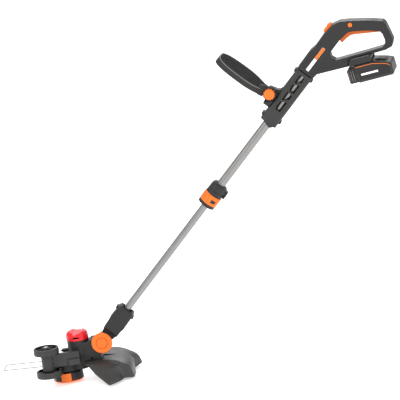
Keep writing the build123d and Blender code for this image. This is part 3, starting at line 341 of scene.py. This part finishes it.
def sheet_between(top, bottom):
    """Closed shell between two equal grids of points (metres)."""
    bm = bmesh.new()
    grids = [[[bm.verts.new(p) for p in row] for row in grid] for grid in (top, bottom)]
    rows, cols = len(top), len(top[0])
    for grid in grids:
        for i in range(rows - 1):
            for j in range(cols - 1):
                bm.faces.new((grid[i][j], grid[i + 1][j], grid[i + 1][j + 1], grid[i][j + 1]))
    a, b = grids
    for i in range(rows - 1):
        bm.faces.new((a[i][0], a[i + 1][0], b[i + 1][0], b[i][0]))
        bm.faces.new((a[i][-1], a[i + 1][-1], b[i + 1][-1], b[i][-1]))
    for j in range(cols - 1):
        bm.faces.new((a[0][j], a[0][j + 1], b[0][j + 1], b[0][j]))
        bm.faces.new((a[-1][j], a[-1][j + 1], b[-1][j + 1], b[-1][j]))
    bmesh.ops.recalc_face_normals(bm, faces=bm.faces)
    return bm


# ------------------------------------------------------------------ loop handle
# positions along the shaft (s) and across it (n), sizes in mm
AUX_S, AUX_N = 779.0, 41.0
LOOP_HALF_WIDTH = 41.0
LOOP_MIDDLE = 125.0
LOOP_WALL = 4.4
LOOP_LIP = 1.1
LOOP_GROOVE = 0.9
LOOP_LOW, LOOP_HIGH = 759.3, 782.7
LOOP_NEAR_DROP = 6.5
LOOP_FAR_DROP = 7.0
LOOP_FOOT_WIDTH = 0.88
LOOP_FLARE = 0.18
LOOP_OUTER_STEPS = 12
LOOP_INNER_STEPS = 24
BEAD_SIDES = 10
BEAD_THICK, BEAD_TALL = 1.5, 1.2
BEAD_INSET = 1.9
BEAD_WIDTH = 1.055
CHEEK_R = 17.6
CHEEK_OUT, CHEEK_IN = -22.0, -10.3
CHEEK_BORE_R = 3.3
LOOP_SHAPE = [(52, 0.43), (58, 0.45), (66, 0.52), (84, 0.80), (104, 0.97), (130, 1.0), (155, 0.95),
              (175, 0.80), (189, 0.55), (196.2, 0.22)]


def loop_high(y):
    """Position along the shaft of the band's upper edge: lower on the near side."""
    k = min(1.0, max(0.0, (18.0 - y) / 44.0))
    return LOOP_HIGH - LOOP_NEAR_DROP * k * k * (3 - 2 * k)


def loop_low(n, y):
    """Position along the shaft of the band's lower edge: lower on the far side, away from the hub."""
    k = min(1.0, max(0.0, (y + 12.0) / 40.0))
    away = min(1.0, max(0.0, (n - 60.0) / 30.0))
    return LOOP_LOW - LOOP_FAR_DROP * k * k * (3 - 2 * k) * away


def loop_line():
    right = [(n, LOOP_HALF_WIDTH * f) for n, f in LOOP_SHAPE]
    return through(right + [(n, -y) for n, y in reversed(right)], 7)


def loop_rim():
    """Thin smooth bead along the upper edge of the band; its lighter grey is a painted highlight along the
    lip.
    """
    line = loop_line()
    bm = bmesh.new()
    rows = []
    for i, (n, y) in enumerate(line):
        a = Vector(line[max(0, i - 1)])
        b = Vector(line[min(len(line) - 1, i + 1)])
        t = (b - a).normalized()
        side = Vector((t.y, -t.x))
        side *= 1 if side.dot(Vector((n - LOOP_MIDDLE, y))) > 0 else -1
        row = []
        for k in range(BEAD_SIDES):
            turn = 2 * math.pi * k / BEAD_SIDES
            reach = BEAD_THICK * math.cos(turn) - BEAD_INSET
            along = loop_high(y) - 0.5 + BEAD_TALL * math.sin(turn)
            row.append(bm.verts.new(on_shaft(along, n + side.x * reach, y * BEAD_WIDTH + side.y * reach)))
        rows.append(row)
    for row_a, row_b in zip(rows, rows[1:]):
        for k in range(BEAD_SIDES):
            j = (k + 1) % BEAD_SIDES
            bm.faces.new((row_a[k], row_a[j], row_b[j], row_b[k]))
    bm.faces.new(rows[0])
    bm.faces.new(rows[-1][::-1])
    bmesh.ops.recalc_face_normals(bm, faces=bm.faces)
    return bm


def loop_handle():
    """Flared band: ribbed inside, rounded lips, open towards the hub."""
    line = loop_line()
    normals = []
    for i in range(len(line)):
        a = Vector(line[max(0, i - 1)])
        b = Vector(line[min(len(line) - 1, i + 1)])
        t = (b - a).normalized()
        normals.append(Vector((t.y, -t.x)))
    section = []
    for k in range(LOOP_OUTER_STEPS + 1):
        f = k / LOOP_OUTER_STEPS
        lip = LOOP_LIP * (abs(2 * f - 1)) ** 8
        section.append((f, lip))
    for k in range(LOOP_INNER_STEPS + 1):
        f = 1 - k / LOOP_INNER_STEPS
        groove = LOOP_GROOVE if (k % 4) in (2, 3) and 2 < k < LOOP_INNER_STEPS - 2 else 0.0
        lip = LOOP_LIP * (abs(2 * f - 1)) ** 8
        section.append((f, LOOP_WALL - lip + groove))
    bm = bmesh.new()
    rows = []
    for (n, y), out in zip(line, normals):
        outward = 1 if out.dot(Vector((n - LOOP_MIDDLE, y))) > 0 else -1
        row = []
        for f, depth in section:
            wide = LOOP_FOOT_WIDTH + LOOP_FLARE * f
            point = Vector((n, y * wide)) - out * depth * outward
            along = loop_low(n, y) + (loop_high(y) - loop_low(n, y)) * f
            row.append(bm.verts.new(on_shaft(along, point.x, point.y)))
        rows.append(row)
    for row_a, row_b in zip(rows, rows[1:]):
        for i in range(len(section)):
            j = (i + 1) % len(section)
            bm.faces.new((row_a[i], row_a[j], row_b[j], row_b[i]))
    bm.faces.new(rows[0])
    bm.faces.new(rows[-1][::-1])
    bmesh.ops.recalc_face_normals(bm, faces=bm.faces)
    return bm


piece("loop_handle", loop_handle(), "grip_rubber", "aux_handle", ["aux_loop"])
# the bead's lighter grey paints the highlight along the band's upper lip
piece("loop_rim", loop_rim(), "rim_painted_highlight_grey", "aux_handle")
cheek_outline = []
for turn in range(115, 425, 10):
    a = math.radians(turn)
    cheek_outline.append((AUX_S + CHEEK_R * math.cos(a), AUX_N + CHEEK_R * math.sin(a)))
cheek_outline += [(791, 60), (783.5, 73), (759.5, 73), (760.5, 60)]
piece("loop_cheek", prism(on_shaft, cheek_outline, CHEEK_OUT, CHEEK_IN, 1.4,
                          holes=[ring_loop(AUX_S, AUX_N, CHEEK_BORE_R, 28)]), "grip_rubber", "aux_handle")
piece("loop_bridge", prism(on_shaft, rounded([(759.5, 58), (780.5, 58), (780.5, 65.5), (759.5, 65.5)], 2.0),
                           -21.9, 21.9, 1.2), "grip_rubber", "aux_handle")
# two raised ribs across the web of the cheek
for k, n in enumerate((58.0, 62.0)):
    end = 788 - 2 * k
    rib = rounded([(764, n), (end, n), (end, n + 1.4), (764, n + 1.4)], 0.6)
    piece(f"loop_cheek_rib_{k}", prism(on_shaft, rib, -22.6, -21.5, 0.3), "grip_rubber", "aux_handle")

# ------------------------------------------------------------------ shield
SHIELD_WALL = 2.4
SHIELD_RIM = 0.8
# degrees around the spool axis, then (radius, height) points from the hub to the rim, in mm
SHIELD = [
    (-43, [(62, 49), (84, 46), (104, 33), (116, 25), (164, 3)]),
    (-36, [(62, 49), (90, 46.5), (114, 33), (126, 26.5), (163, 3)]),
    (-28, [(62, 49), (96, 47), (126, 35), (137, 29.5), (162, 3)]),
    (-20, [(63, 49), (104, 47.5), (138, 38.5), (149.5, 33.5), (160, 3)]),
    (-17, [(64, 49), (112, 48.3), (142, 43.5), (166, 33), (180, 3)]),
    (-11, [(66, 49), (116, 48.5), (144, 45), (168, 32), (177.6, 3)]),
    (0, [(66, 49), (118, 48.5), (146, 45), (166, 31), (171.5, 3)]),
    (11, [(66, 49), (120, 48.5), (147, 46), (166, 31), (168.5, 3)]),
    (15, [(66, 49), (122, 48.5), (148, 46), (171, 31), (176, 5)]),
    (21, [(64, 49), (126, 50), (152, 48), (182, 31), (192, 8)]),
    (28, [(62, 49), (126, 51.5), (152, 49), (181, 31), (191.5, 9)]),
    (34, [(62, 49), (122, 52.5), (146, 50), (170, 35), (180, 14)]),
    (40, [(62, 49), (112, 52.5), (132, 50), (150, 39), (158, 22)]),
]


def shield_surface():
    """Smooth shield: rows run outwards and down, the outer rim is thickened."""
    low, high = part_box("guard")
    rows = []
    for deg, points in SHIELD:
        rows.append([(deg, r, z) for r, z in through(points, 6)])
    grid = list(zip(*[through(list(col), 5) for col in zip(*rows)]))
    grid = [list(row) for row in grid]
    top, under = [], []
    for row in grid:
        upper, lower = [], []
        for j, (deg, r, z) in enumerate(row):
            a = math.radians(deg)
            before, after = row[max(0, j - 1)], row[min(len(row) - 1, j + 1)]
            tr, tz = after[1] - before[1], after[2] - before[2]
            size = math.hypot(tr, tz) or 1.0
            thick = SHIELD_WALL + (SHIELD_RIM if j >= len(row) - 2 else 0.0)
            nr, nz = tz / size * thick, -tr / size * thick
            for store, rr, zz in ((upper, r, z), (lower, r + nr, z + nz)):
                x = min(max(rr * math.cos(a) / 1000, low[0]), high[0])
                y = min(max(rr * math.sin(a) / 1000, low[1]), high[1])
                store.append(Vector((x, y, min(max(zz / 1000, low[2]), high[2]))))
        top.append(upper)
        under.append(lower)
    return sheet_between(top, under)


piece("shield", shield_surface(), "guard_plastic", "head", ["guard"], sharp=50)
pad = rounded([(63.5, 46.6), (94, 46.6), (94, 53), (86, 57.2), (63.5, 57.2)], 1.6)
piece("shield_pad", prism(flat_at, pad, -15, 15, 1.0), "guard_plastic", "head")
rail = rounded([(68, 46), (100, 46), (150, 40), (150, 44.6), (100, 52), (68, 52)], 1.4)
piece("shield_rail", prism(flat_at, rail, 16.9, 19.6, 0.8), "guard_plastic", "head")

# ------------------------------------------------------------------ battery pack graphic
GRAPHIC_Y = -36.25


def decal(name, place, outline, y, finish, body, depth=0.4):
    """Thin raised patch of an outline, standing depth mm deep from y."""
    return piece(name, prism(place, outline, y, y + depth, 0.08, rim_steps=1), finish, body)


panel = rounded([(-27, -37.5), (54, -37.5), (54, -16.5), (-27, -16.5)], 3.0)
decal("pack_panel", pack_at, panel, GRAPHIC_Y, "pack_black", "battery_pack")
label = rounded([(-20, -27.5), (24, -27.5), (24, -22.5), (-20, -22.5)], 1.2)
decal("pack_label", pack_at, label, GRAPHIC_Y - 0.15, "badge", "battery_pack")
edge = rounded([(-26, -43.6), (56, -43.6), (58.6, -41), (58.6, -39.6), (-28.5, -39.6), (-28.5, -41)], 1.0)
decal("pack_edge", pack_at, edge, -35.2, "pack_grey", "battery_pack", 0.8)
for k in range(3):
    u = -51.6 + 6 * k
    rib = rounded([(u, -38.2), (u + 1.3, -38.2), (u + 1.3, -11), (u, -11)], 0.5)
    decal(f"pack_nose_rib_{k}", pack_at, rib, -31.5, "pack_grey", "battery_pack", 1.2)
seam = [(-30, -3.2), (14, -3.2), (45, -10.8), (55, -15.6), (57, -20), (56, -20.6), (54, -16.8), (44.5, -12.2),
        (13.8, -4.6), (-30, -4.6)]
decal("pack_seam", pack_at, seam, -36.1, "orange_plastic", "battery_pack", 0.5)

# ------------------------------------------------------------------ handle badge, painted shade in a handle crease and in the collar slot, knob ring
badge = rounded([(921, -3.0), (956.2, -3.0), (956.2, 4.6), (921, 4.6)], 1.0)
decal("badge_upper", on_shaft, badge, -18.0, "orange_plastic", "handle_frame", 0.45)
# dark strip along the handle's crease: painted shade where the surface folds
crease = [(765.7, 762.0), (766.9, 763.2), (735.4, 722.4), (734.0, 723.0)]
decal("handle_crease_painted_shade", flat_at, crease, -17.75, "pack_black", "handle_frame", 0.4)


def ring_slot_painted_shade():
    """Dark sheet that follows the curve of the twist ring: painted shade inside the ring's slot."""
    grids = []
    for r in (23.85, 23.0):
        grids.append([[on_shaft(s, -r * math.sin(t), -r * math.cos(t)) for s in (460.5, 464.5, 468.5)]
                      for t in (0.16 + 0.07 * k for k in range(9))])
    return sheet_between(*grids)


# the dark sheet paints the shade inside the slot of the twist ring
piece("ring_slot_painted_shade", ring_slot_painted_shade(), "pack_black", "twist_ring")
pointer = rounded([(98.6, 117.5), (104.6, 117.5), (103.6, 123.6), (101.8, 123.6)], 0.9)
piece("knob_pointer", prism(flat_at, pointer, -30.4, -26.5, 0.6), "orange_plastic", "tilt_button")
section = [(17.0, -0.6), (20.0, -0.6), (20.4, -0.2), (20.2, 0.6), (19.4, 1.2), (17.6, 1.2), (17.0, 0.6)]
piece("knob_ring", turned_shape(TILT + Vector((0, -0.0285, 0)), (0, -1, 0), section, 72),
      "orange_plastic", "tilt_button")

# ------------------------------------------------------------------ stage, light, camera
VIEW_AZIMUTH = math.radians(9.3)
VIEW_HEIGHT = math.radians(13.9)
VIEW_ROLL = math.radians(8.3)
VIEW_WIDTH = 1.0
VIEW_LENS = 1500.0
VIEW_CENTRE = Vector((0.395, 0.0, 0.426))


def add_floor():
    size = 12.0
    data = bpy.data.meshes.new("floor")
    data.from_pydata([(-size, -size, 0), (size, -size, 0), (size, size, 0), (-size, size, 0)], [],
                     [(0, 1, 2, 3)])
    floor = bpy.data.objects.new("floor", data)
    floor.location.z = -0.004
    bpy.context.scene.collection.objects.link(floor)
    mat = bpy.data.materials.new("floor_pale")
    mat.use_nodes = True
    bsdf = mat.node_tree.nodes["Principled BSDF"]
    bsdf.inputs["Base Color"].default_value = (0.93, 0.93, 0.93, 1)
    bsdf.inputs["Roughness"].default_value = 0.9
    bsdf.inputs["Emission Color"].default_value = (1, 1, 1, 1)
    bsdf.inputs["Emission Strength"].default_value = 0.45
    data.materials.append(mat)


def add_world():
    world = bpy.data.worlds.new("studio")
    world.use_nodes = True
    back = world.node_tree.nodes["Background"]
    back.inputs["Color"].default_value = (1.0, 1.0, 1.0, 1.0)
    back.inputs["Strength"].default_value = 0.95
    bpy.context.scene.world = world


def add_light(name, at, to, size, power):
    data = bpy.data.lights.new(name, "AREA")
    data.energy = power
    data.shape = "RECTANGLE"
    data.size = size
    data.size_y = size
    lamp = bpy.data.objects.new(name, data)
    lamp.location = at
    lamp.rotation_euler = (Vector(to) - Vector(at)).to_track_quat("-Z", "Y").to_euler()
    bpy.context.scene.collection.objects.link(lamp)


def add_camera():
    right = Vector((math.cos(VIEW_AZIMUTH), math.sin(VIEW_AZIMUTH), 0))
    back = Vector((math.sin(VIEW_AZIMUTH) * math.cos(VIEW_HEIGHT),
                   -math.cos(VIEW_AZIMUTH) * math.cos(VIEW_HEIGHT), math.sin(VIEW_HEIGHT)))
    up = back.cross(right)
    roll_right = right * math.cos(VIEW_ROLL) - up * math.sin(VIEW_ROLL)
    roll_up = right * math.sin(VIEW_ROLL) + up * math.cos(VIEW_ROLL)
    data = bpy.data.cameras.new("camera")
    data.lens = VIEW_LENS
    data.sensor_width = 36.0
    data.clip_end = 200.0
    camera = bpy.data.objects.new("camera", data)
    reach = VIEW_WIDTH * data.lens / data.sensor_width
    spin = Matrix((roll_right, roll_up, back)).transposed().to_4x4()
    camera.matrix_world = Matrix.Translation(VIEW_CENTRE + back * reach) @ spin
    bpy.context.scene.collection.objects.link(camera)
    bpy.context.scene.camera = camera


add_floor()
add_world()
add_light("key", (-1.2, -2.2, 2.6), (0.4, 0, 0.4), 1.6, 60)
add_light("fill", (2.4, -2.0, 1.4), (0.4, 0, 0.4), 1.8, 22)
add_light("back", (0.2, 2.4, 2.2), (0.4, 0, 0.4), 1.6, 30)
add_camera()
bpy.context.scene.view_settings.view_transform = "Standard"
